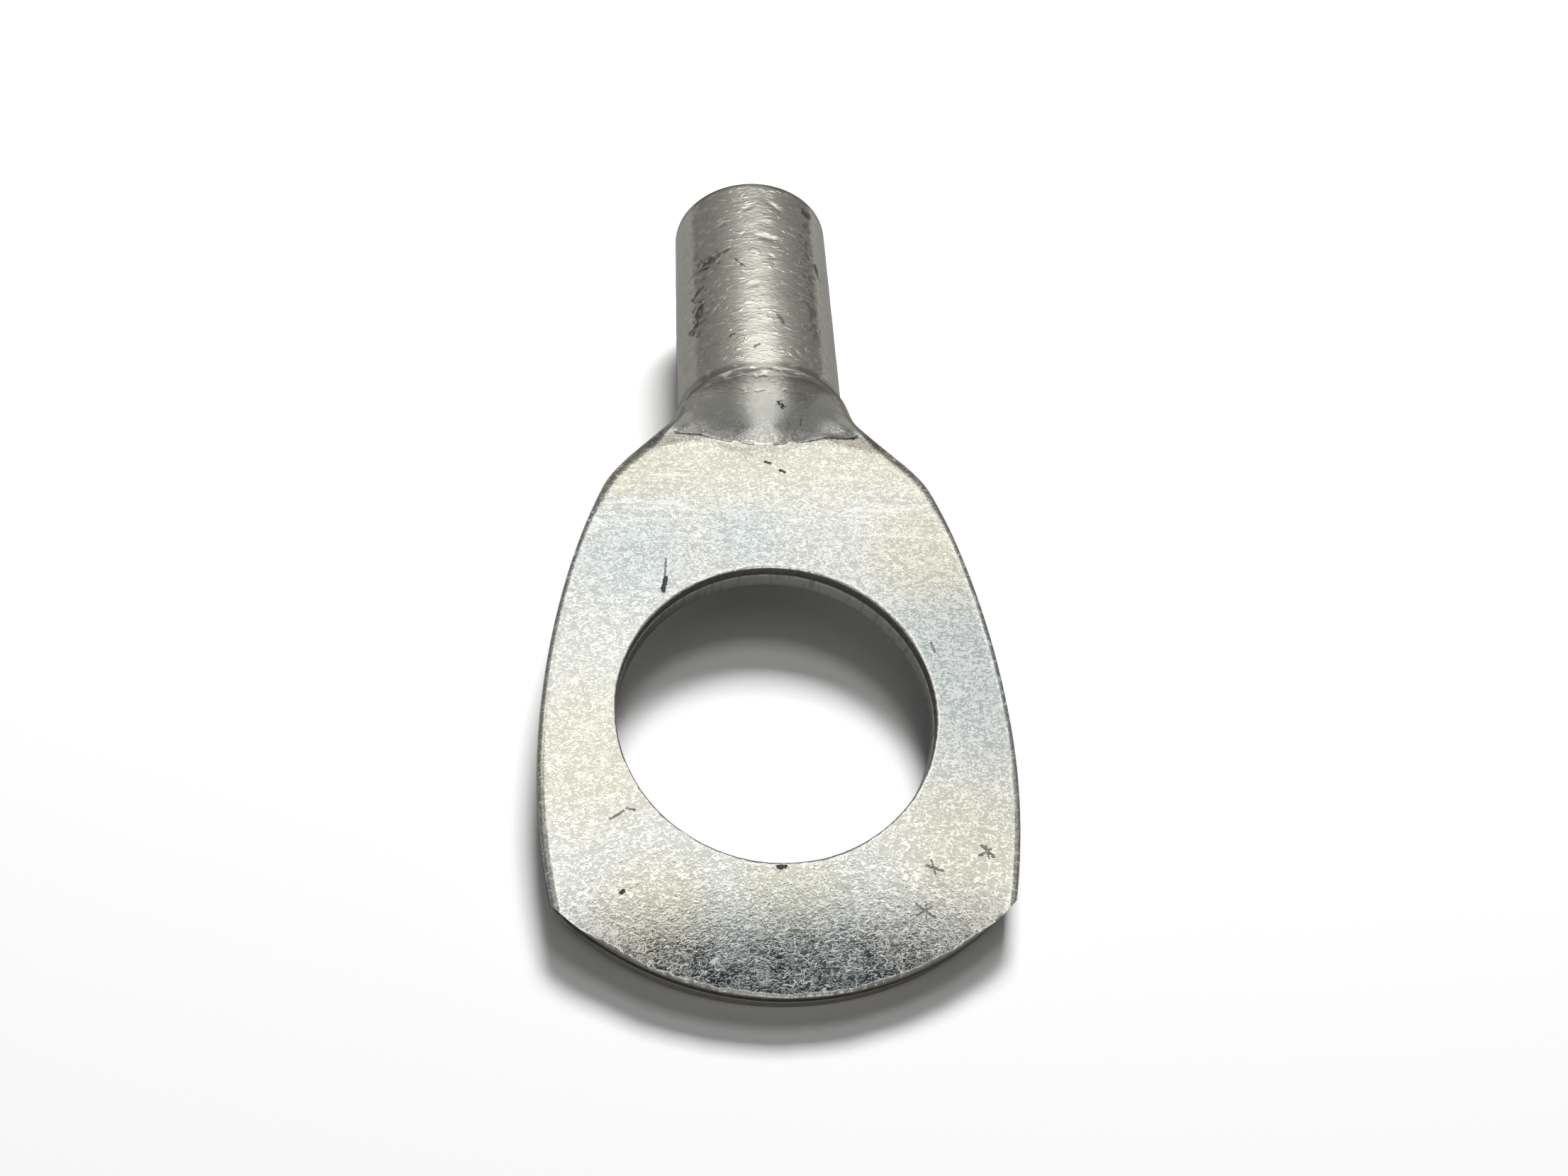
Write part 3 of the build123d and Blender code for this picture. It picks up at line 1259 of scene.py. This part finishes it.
    # Painted shade: darkening in the creases and corners where the neck meets the palm.
    folds: tuple[Mark, ...] = marks_of(
        MarkKind.STAIN_AND_SHADE,
        (4.8, -13.6, 1.3, 6.6, -12.6, 1.1, 0.3),
        (4.9, -14.3, 1.0, 4.9, -13.6, 1.3, 0.3),
        (-4.8, -13.6, 1.3, -6.9, -12.6, 1.1, 0.3),
        (-5.1, -14.3, 1.0, -5.0, -13.6, 1.3, 0.3),
        (3.1, -13.75, 1.6, 5.1, -13.2, 1.6, 0.42),
        (-3.3, -13.75, 1.6, -5.2, -13.2, 1.6, 0.42),
    )

    def mark_group(self) -> bpy.types.NodeTree:
        """Makes the node group that finds how near a place is to one mark.

        Returns:
            The group. Its result is 1 on the mark and 0 away from it.
        """
        tree = bpy.data.node_groups.new("plating_mark", "ShaderNodeTree")
        for name in ("Place", "Start", "Run"):
            tree.interface.new_socket(name, in_out="INPUT", socket_type="NodeSocketVector")
        for name in ("Width", "Waver"):
            tree.interface.new_socket(name, in_out="INPUT", socket_type="NodeSocketFloat")
        tree.interface.new_socket("Mark", in_out="OUTPUT", socket_type="NodeSocketFloat")
        graph = Graph(tree)
        given = graph.node("NodeGroupInput").outputs
        result = graph.node("NodeGroupOutput")
        offset = graph.vector("SUBTRACT", given["Place"], given["Start"])
        ahead = graph.vector("DOT_PRODUCT", offset, given["Run"], result="Value")
        length = graph.vector("DOT_PRODUCT", given["Run"], given["Run"], result="Value")
        share = graph.sum("DIVIDE", ahead, length, clamp=True)
        foot = graph.vector("SCALE", given["Run"], share)
        apart = graph.vector("DISTANCE", offset, foot, result="Value")
        apart = graph.sum("DIVIDE", apart, given["Width"])
        apart = graph.sum("ADD", apart, given["Waver"])
        graph.feed(result.inputs["Mark"], graph.span(apart, *self.mark_edge))
        return tree

    def lay_marks(
        self,
        graph: FinishGraph,
        group: bpy.types.NodeTree,
        waver: Socket,
        marks: tuple[Mark, ...],
        measure: Measure = Measure.DARKNESS,
    ) -> Socket:
        """Adds up the marks of one list.

        Args:
            graph: The material's graph.
            group: The node group for one mark.
            waver: Noise that breaks up the marks' edges.
            marks: The marks.
            measure: What is added up.

        Returns:
            The strongest mark at each place.
        """
        total: Value = 0.0
        for mark in marks:
            made = graph.node("ShaderNodeGroup", node_tree=group)
            run = Vector(mark.end) - Vector(mark.start)
            given = (graph.place, mark.start, run, mark.width, waver)
            for name, value in zip(("Place", "Start", "Run", "Width", "Waver"), given):
                graph.feed(made.inputs[name], value)
            strength = graph.times(made.outputs[0], mark.kind.value[measure.value])
            total = graph.sum("MAXIMUM", total, strength)
        return total

    def spots(self, graph: FinishGraph, spots: tuple[Spot, ...]) -> Socket:
        """Gives how far a place lies inside the nearest of some soft round spots.

        Args:
            graph: The material's graph.
            spots: The spots' centres and radii.

        Returns:
            1 at a spot's centre and 0 outside all of them.
        """
        total: Value = 0.0
        for centre, radius in spots:
            apart = graph.vector("DISTANCE", graph.place, centre, result="Value")
            total = graph.sum("MAXIMUM", total, graph.span(apart, radius, 0.3 * radius))
        return total

    def frost_grain(self, graph: FinishGraph) -> tuple[Socket, ...]:
        """Makes the palm's grain: crumpled tin with curled strokes and hairs of frost on it.

        Args:
            graph: The material's graph.

        Returns:
            How frosted each place is, where the frost is a hair, and the grain's height.
        """
        crumple = graph.noise(graph.place, 5.2, 2.0, 1.3)
        curly = graph.vector("MULTIPLY", graph.place, (1.0, 1.6, 1.0))
        stroke = graph.span(graph.noise(curly, 4.2, 1.5, 1.8), 0.49, 0.57)
        hair = graph.span(graph.away(graph.noise(graph.place, 2.1, 1.0, 1.0), 0.5), 0.06, 0.0)
        broken = graph.span(graph.noise(graph.place, 2.9, 1.0), 0.48, 0.58)
        hair = graph.times(hair, broken)
        frost = graph.sum("MAXIMUM", graph.times(stroke, 0.75), hair)
        return frost, hair, graph.sum("ADD", graph.times(crumple, 0.07), graph.times(frost, 0.04))

    def drawn_grain(self, graph: FinishGraph) -> tuple[Socket, ...]:
        """Makes the barrel's grain: short waves and flecks drawn across it, calm in the neck.

        Args:
            graph: The material's graph.

        Returns:
            The waves, the flecks and the grain's height.
        """
        drawn = graph.vector("MULTIPLY", graph.place, (1.0, 2.2, 1.0))
        wave = graph.noise(drawn, 1.9, 3.0, 1.5)
        fleck = graph.span(graph.noise(drawn, 1.9, 1.0, 0.4), 0.6, 0.7)
        height = graph.sum("ADD", graph.times(wave, 0.38), graph.times(fleck, 0.35))
        calmer = graph.span(graph.along, *self.neck_end, 1.0, 0.25)
        return wave, fleck, graph.times(height, calmer)

    def brushing(self, graph: FinishGraph) -> tuple[Socket, ...]:
        """Makes the lines brushed across the back of the palm, on both sides of its middle.

        Args:
            graph: The material's graph.

        Returns:
            The bright lines, the dark ones and the height of all.
        """
        lines = graph.noise(graph.vector("MULTIPLY", graph.place, (0.3, 5.0, 0.3)), 1.0)
        zone = graph.band(graph.along, *self.brushed)
        aside = graph.span(graph.sum("ABSOLUTE", graph.across), *self.brushed_aside)
        zone = graph.times(zone, aside)
        bright = graph.times(graph.span(lines, 0.56, 0.63, 0.0, 0.45), zone)
        dark = graph.times(graph.span(lines, 0.43, 0.36, 0.0, 0.3), zone)
        return bright, dark, graph.times(lines, zone, 0.25)

    def tints(self, graph: FinishGraph) -> tuple[Socket, ...]:
        """Makes the tints: warm towards the neck and in spots, cool in others.

        Args:
            graph: The material's graph.

        Returns:
            How warm and how cool each place is.
        """
        tint = graph.noise(graph.place, 5.5, 2.0, 0.8)
        warm = graph.band(graph.along, *self.warm_rear)
        warm = graph.sum("MAXIMUM", warm, self.spots(graph, self.warm_spots))
        warm = graph.times(warm, graph.span(tint, 0.36, 0.6, 0.45, 1.0))
        warm = graph.sum("MAXIMUM", warm, graph.span(tint, 0.55, 0.68, 0.0, 0.7))
        cool = self.spots(graph, self.cool_spots)
        return warm, graph.times(cool, graph.span(tint, 0.64, 0.42, 0.4, 1.0))

    def material(self) -> bpy.types.Material:
        """Makes the plating's material.

        Returns:
            The material.
        """
        graph = FinishGraph("tin_plate")
        along = graph.along
        tube = graph.span(along, *self.tube_start)
        frost, hair, palm_grain = self.frost_grain(graph)
        wave, fleck, barrel_grain = self.drawn_grain(graph)
        bright_lines, dark_lines, brushed = self.brushing(graph)
        warmth, coolness = self.tints(graph)

        # Marks, stains and their depth, and painted shade down the barrel's sides and in the
        # neck's creases
        group = self.mark_group()
        ragged = graph.spread(graph.noise(graph.place, 11.0), 0.5, 2.4)
        blotch = graph.noise(graph.place, 3.2, 4.0)
        drift = graph.spread(blotch, 0.42, 4.0)
        blurred = graph.spread(blotch, 0.36, 5.0)
        dark = self.lay_marks(graph, group, ragged, self.marks)
        deep = self.lay_marks(graph, group, ragged, self.marks, Measure.DEPTH)
        stained = self.lay_marks(graph, group, drift, self.stains)
        # Painted shade down the barrel's sides.
        darkened = self.lay_marks(graph, group, blurred, self.barrel_side_shade)
        # Painted shade in the neck's creases.
        creased = self.lay_marks(graph, group, ragged, self.folds)
        grain = graph.sum("ADD", graph.level(tube, palm_grain, barrel_grain), brushed)
        grain = graph.sum("SUBTRACT", grain, graph.times(deep, 2.0))

        # Colour: frost on duller tin with painted shade on the ridge band and a painted dark
        # reflection over the tip, then the tints, then the dirt and the painted shade
        frosted = graph.times(frost, graph.span(along, *self.frost_end, 1.0, 0.1))
        coats = (
            (graph.times(tube, 0.9), self.aged),
            (graph.times(tube, graph.span(wave, 0.32, 0.55, 0.34, 0.0)), self.dull_tin_and_shade),
            # Painted shade: dulls the ridge band, standing in for its dim reflection.
            (graph.band(along, *self.ridge), self.dull_tin_and_shade),
            # Painted reflection: darkens the palm's tip for the dark reflection over it.
            (graph.times(graph.span(along, *self.dark_reflection_tip), 0.5), self.tip),
            (frosted, self.frost),
            (bright_lines, self.frost),
            (dark_lines, self.dull_tin_and_shade),
            (graph.times(fleck, tube, 0.9), self.frost),
        )
        colour = graph.layers(self.colour, coats)
        colour = graph.blend(graph.times(warmth, 0.8), colour, self.warm, Mixing.FILTER)
        colour = graph.blend(graph.times(coolness, 0.9), colour, self.cool, Mixing.FILTER)
        # The mouth's edge darkened, stains and marks, with painted shade down the barrel's sides
        # and in the neck's creases.
        dirt_and_shade = (
            (graph.times(graph.span(along, *self.mouth_edge), 0.5), self.stain_and_shade),
            # Painted shade down the barrel's sides.
            (graph.times(darkened, 0.55), self.stain_and_shade),
            # Painted shade in the neck's creases.
            (graph.times(creased, 0.7), self.stain_and_shade),
            (stained, self.stain_and_shade),
            (dark, self.soot),
        )
        colour = graph.layers(colour, dirt_and_shade)

        metallic = graph.sum("SUBTRACT", 1.0, graph.times(hair, frosted, 0.8))
        smear = graph.span(graph.noise(graph.place, 0.8), 0.35, 0.65, -0.02, 0.03)
        rough = graph.sum("ADD", smear, self.roughness)
        rough = graph.sum("ADD", rough, graph.times(stained, 0.3))
        rough = graph.sum("ADD", rough, graph.times(dark, 0.3), clamp=True)
        return graph.finish(colour, metallic, rough, grain)


@dataclass(frozen=True)
class ShearedEdge:
    """The punched walls: drawn metal with upright shear streaks under thin tin, and a painted
    shade on the tip's wall.
    """

    upper: Colour = (0.62, 0.60, 0.54)
    lower: Colour = (0.62, 0.63, 0.58)
    rim: Colour = (0.86, 0.85, 0.82)
    # This dark colour is laid on the shear streaks, and also as painted shade on the tip's wall.
    dark_coat: Colour = (0.22, 0.20, 0.16)
    roughness: float = 0.36
    seam: Range = (0.82, 0.88)
    rim_start: Range = (1.33, 1.4)
    smooth_start: Range = (1.28, 1.34)
    # Painted shade: the range along Y over which the tip's wall is darkened, for the shadowed
    # sheet it mirrors.
    shaded_tip_wall: Range = (7.0, 9.0)

    def material(self) -> bpy.types.Material:
        """Makes the wall's material.

        Returns:
            The material.
        """
        graph = FinishGraph("sheared_edge")
        upright = graph.vector("MULTIPLY", graph.place, (3.0, 3.0, 0.5))
        streak = graph.noise(upright, 1.6, 4.0, 0.3)
        darkened = graph.times(graph.span(streak, 0.45, 0.7), 0.5)
        # Painted shade: darkens the tip's wall for the shadowed sheet it mirrors.
        at_tip = graph.span(graph.along, *self.shaded_tip_wall, 0.0, 0.75)
        coats = (
            (graph.span(graph.upward, *self.seam), self.upper),
            (graph.span(graph.upward, *self.rim_start), self.rim),
            (graph.sum("MAXIMUM", darkened, at_tip), self.dark_coat),
        )
        colour = graph.layers(self.lower, coats)
        metallic = graph.span(graph.upward, *self.seam, 0.5, 1.0)
        rough = graph.span(streak, 0.3, 0.7, self.roughness - 0.08, self.roughness + 0.12)
        rough = graph.times(rough, graph.span(graph.upward, *self.smooth_start, 1.0, 0.4))
        return graph.finish(colour, metallic, rough, streak)


@dataclass(frozen=True)
class BoreTin:
    """The plating inside the bore, duller than outside, brown at the mouth."""

    colour: Colour = (0.62, 0.60, 0.55)
    brown: Colour = (0.24, 0.19, 0.14)
    roughness: float = 0.42
    mouth_edge: Range = (-26.9, -27.4)

    def material(self) -> bpy.types.Material:
        """Makes the bore's material.

        Returns:
            The material.
        """
        graph = FinishGraph("bore_tin")
        patchy = graph.noise(graph.place, 2.4, 4.0, 0.5)
        edge = graph.times(graph.span(graph.along, *self.mouth_edge), 0.35)
        dark_coat = graph.sum("ADD", edge, graph.times(graph.span(patchy, 0.4, 0.7), 0.4))
        colour = graph.blend(dark_coat, self.colour, self.brown)
        rough = graph.span(patchy, 0.3, 0.7, self.roughness - 0.06, self.roughness + 0.14)
        return graph.finish(colour, 1.0, rough, patchy)


@dataclass(frozen=True)
class WhiteSheet:
    """The white sheet that the terminal lies on, on its tip and the underside of its barrel."""

    front_rest: Range = (11.4, 0.0)
    rear_rest: Range = (-15.308, -3.425)
    radius: float = 260.0
    spans: int = 96
    clean_from: float = 45.0
    clean_share: float = 0.55
    seen: float = 1.36
    paper: float = 0.32

    def build(self) -> bpy.types.Object:
        """Builds the sheet as a round disc through the two resting lines.

        Returns:
            The sheet.
        """
        run = Vector((0.0, self.front_rest[0] - self.rear_rest[0], 0.0))
        run.z = self.front_rest[1] - self.rear_rest[1]
        run.normalize()
        side = Vector((1.0, 0.0, 0.0))
        middle = Vector((0.0, self.rear_rest[0] / 2.0, self.rear_rest[1]))
        middle.z = self.rear_rest[1] + run.z / run.y * (middle.y - self.rear_rest[0])
        points = [middle * MM]
        faces = []
        for span in range(self.spans):
            turn = 2.0 * pi * span / self.spans
            reach = (side * cos(turn) + run * sin(turn)) * self.radius
            points.append((middle + reach) * MM)
            faces.append((0, span + 1, (span + 1) % self.spans + 1))
        mesh = bpy.data.meshes.new("white_sheet")
        mesh.from_pydata([tuple(point) for point in points], [], faces)
        made = place_in_scene("white_sheet", mesh)
        mesh.materials.append(self.material())
        return made

    def material(self) -> bpy.types.Material:
        """Makes the sheet's matt white, brighter to the camera than to the metal.

        Returns:
            The material.
        """
        made = bpy.data.materials.new("white_sheet")
        made.use_nodes = True
        graph = Graph(made.node_tree)
        shader = made.node_tree.nodes["Principled BSDF"]
        to_camera = graph.node("ShaderNodeLightPath").outputs["Is Camera Ray"]
        where = graph.node("ShaderNodeTexCoord").outputs["Object"]
        far = graph.vector("LENGTH", where, result="Value")
        far = graph.span(far, self.clean_from * MM, self.clean_share * self.radius * MM)
        settings = {
            "Base Color": graph.blend(to_camera, (self.paper,) * 3, (self.seen,) * 3),
            "Emission Color": (1.0, 1.0, 1.0, 1.0),
            "Emission Strength": graph.times(far, to_camera),
            "Roughness": 0.9,
            "Specular IOR Level": 0.0,
        }
        for name, value in settings.items():
            graph.feed(shader.inputs[name], value)
        return made


@dataclass(frozen=True)
class SoftLamp:
    """One large soft lamp."""

    name: str
    direction: Point
    distance: float
    width: float
    height: float
    level: float

    def build(self) -> bpy.types.Object:
        """Hangs the lamp, facing the terminal.

        Returns:
            The lamp.
        """
        data = bpy.data.lights.new(self.name, "AREA")
        data.shape = "RECTANGLE"
        data.size, data.size_y = self.width * MM, self.height * MM
        data.energy = self.level * pi * data.size * data.size_y
        made = place_in_scene(self.name, data)
        toward = Vector(self.direction).normalized()
        made.location = toward * self.distance * MM
        made.rotation_euler = toward.to_track_quat("Z", "Y").to_euler()
        made.visible_glossy = False
        return made


@dataclass(frozen=True)
class Studio:
    """The room round the terminal, as its bright metal mirrors it.

    Behind the terminal a wall brightens up to the pale ceiling. Ahead of it the wall is dim but
    for a pale strip in the middle. A dark board hangs over the tip, with dim wings beside it.
    The levels of a wall run from its foot upwards, each at its height.
    """

    lamps: tuple[SoftLamp, ...] = (
        SoftLamp("window", (-0.12, -0.77, 0.625), 300.0, 100.0, 70.0, 34.0),
        SoftLamp("skylight", (-0.1, -0.48, 0.85), 300.0, 70.0, 70.0, 6.0),
        SoftLamp("room_fill", (0.45, 0.85, 0.2), 300.0, 200.0, 60.0, 7.0),
    )
    behind: tuple[Range, ...] = (
        *((-0.3, 0.2), (0.1, 0.2), (0.4, 0.25), (0.62, 0.44), (0.68, 0.7)),
        *((0.72, 1.0), (0.79, 1.34), (0.83, 1.08), (0.9, 1.32), (1.0, 1.28)),
    )
    ahead: tuple[Range, ...] = ((-0.3, 0.26), (0.25, 0.26), (0.5, 0.29), (0.8, 0.33), (1.0, 0.45))
    pane: float = 3.0
    pane_toward: Point = (-0.07, 0.72, 0.69)
    pane_edge: float = 7.0
    pane_clear: float = 0.6
    strip: float = 0.65
    strip_middle: float = -0.1
    strip_half: Range = (0.44, 0.12)
    board: float = 0.02
    board_middle: float = -0.13
    board_half: Range = (0.3, 0.12)
    board_edge: Range = (-0.28, -0.24)
    board_end: Range = (0.0, -0.12)
    side_shade: float = 0.27
    side_toward: Point = (-0.3, -0.41, 0.86)
    side_edge: float = 9.0
    wings: float = 0.42
    wings_half: Range = (0.36, 0.52)
    wings_edge: Range = (-0.55, -0.4)
    wings_height: Range = (0.5, 0.65)
    wall_change: Range = (-0.1, 0.08)
    least_ahead: float = 0.25
    least_above: float = 0.05
    soft_share: float = 0.1

    def wall(self, graph: Graph, height: Socket, levels: tuple[Range, ...]) -> Socket:
        """Gives the level of a wall of the room at each height of the view.

        Args:
            graph: The world's graph.
            height: The Z part of the direction.
            levels: Pairs of height and level, from the wall's foot upwards.

        Returns:
            The level's socket.
        """
        made = graph.node("ShaderNodeFloatCurve")
        curve = made.mapping.curves[0]
        curve.points[0].location = levels[0]
        curve.points[1].location = levels[-1]
        for place, level in levels[1:-1]:
            curve.points.new(place, level)
        made.mapping.use_clip = False
        made.mapping.extend = "HORIZONTAL"
        made.mapping.update()
        graph.feed(made.inputs["Value"], height)
        return made.outputs[0]

    def facing(self, graph: Graph, where: Socket, toward: Point) -> Socket:
        """Gives the cosine of the angle between the view and a direction."""
        way = Vector(toward).normalized()
        return graph.vector("DOT_PRODUCT", where, way, result="Value")

    def walls(self, graph: Graph, where: Socket) -> Socket:
        """Puts the room's two walls together.

        Args:
            graph: The world's graph.
            where: The direction of the view.

        Returns:
            The level's socket.
        """
        x, y, z = graph.split(where)
        edge = cos(radians(self.side_edge))
        facing = self.facing(graph, where, self.side_toward)
        shade = graph.span(facing, edge, 1.0, 1.0, 1.0 - self.side_shade)
        behind = graph.times(self.wall(graph, z, self.behind), shade)
        strip = graph.sum("DIVIDE", x, graph.sum("MAXIMUM", y, self.least_ahead))
        strip = graph.away(strip, self.strip_middle)
        strip = graph.span(strip, *self.strip_half, 0.0, self.strip)
        ahead = graph.sum("ADD", self.wall(graph, z, self.ahead), strip)
        return graph.level(graph.span(y, *self.wall_change), behind, ahead)

    def boards(self, graph: Graph, where: Socket, level: Socket) -> Socket:
        """Hangs the dark board and its wings under the ceiling.

        Args:
            graph: The world's graph.
            where: The direction of the view.
            level: The level without them.

        Returns:
            The level's socket.
        """
        x, y, z = graph.split(where)
        above = graph.sum("MAXIMUM", z, self.least_above)
        aside = graph.away(graph.sum("DIVIDE", x, above), self.board_middle)
        ahead = graph.sum("DIVIDE", y, above)
        wings = graph.times(
            graph.span(aside, *self.wings_half),
            graph.span(ahead, *self.wings_edge),
            graph.span(z, *self.wings_height),
        )
        level = graph.level(wings, level, self.wings)
        over = graph.times(
            graph.span(aside, *self.board_half),
            graph.span(ahead, *self.board_edge),
            graph.span(ahead, *self.board_end),
        )
        return graph.level(over, level, self.board)

    def build(self) -> None:
        """Hangs the lamps and makes the world."""
        for lamp in self.lamps:
            lamp.build()
        world = bpy.data.worlds.new("room")
        bpy.context.scene.world = world
        world.use_nodes = True
        world.cycles.sampling_method = "NONE"
        graph = Graph(world.node_tree)
        where = graph.node("ShaderNodeTexCoord").outputs["Generated"]
        level = self.boards(graph, where, self.walls(graph, where))
        facing = self.facing(graph, where, self.pane_toward)
        near = cos(radians(self.pane_clear * self.pane_edge))
        pane = graph.span(facing, cos(radians(self.pane_edge)), near)
        level = graph.level(pane, level, self.pane)

        path = graph.node("ShaderNodeLightPath")
        share = graph.level(path.outputs["Is Diffuse Ray"], 1.0, self.soft_share)
        strength = graph.times(level, share)
        strength = graph.sum("MAXIMUM", strength, path.outputs["Is Camera Ray"])
        ground = world.node_tree.nodes["Background"]
        graph.feed(ground.inputs["Strength"], strength)
        ground.inputs["Color"].default_value = (1.0, 1.0, 1.0, 1.0)


@dataclass(frozen=True)
class BenchCamera:
    """The camera, close above the palm's tip and looking back along the barrel."""

    place: Point = (5.26, 19.42, 42.775)
    right: Point = (-0.992840, 0.054755, 0.106162)
    up: Point = (0.007808, -0.857101, 0.515090)
    back: Point = (0.119195, 0.512231, 0.850536)
    lens: float = 26.04
    sensor: float = 36.0
    nearest: float = 1.0

    def build(self) -> bpy.types.Object:
        """Sets up the camera and makes it the scene's own.

        Returns:
            The camera.
        """
        data = bpy.data.cameras.new("bench_camera")
        data.lens = self.lens
        data.sensor_width = self.sensor
        data.clip_start = self.nearest * MM
        made = place_in_scene("bench_camera", data)
        turn = Matrix((self.right, self.up, self.back)).transposed().to_4x4()
        made.matrix_world = Matrix.Translation(Vector(self.place) * MM) @ turn
        bpy.context.scene.camera = made
        return made


def main() -> None:
    """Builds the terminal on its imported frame, with its stage, lamps and camera."""
    logging.basicConfig(level=logging.INFO, format="%(message)s")
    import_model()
    bpy.context.scene.view_settings.view_transform = "Standard"
    BenchCamera().build()
    WhiteSheet().build()
    Studio().build()

    body = Terminal().build()
    for finish in (TinPlate(), ShearedEdge(), BoreTin()):
        body.data.materials.append(finish.material())
    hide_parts(NODE)
    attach(body, "root")
    triangles = sum(len(face.vertices) - 2 for face in body.data.polygons)
    LOG.info("%s: %d points, %d triangles", body.name, len(body.data.vertices), triangles)


if __name__ == "__main__":
    main()
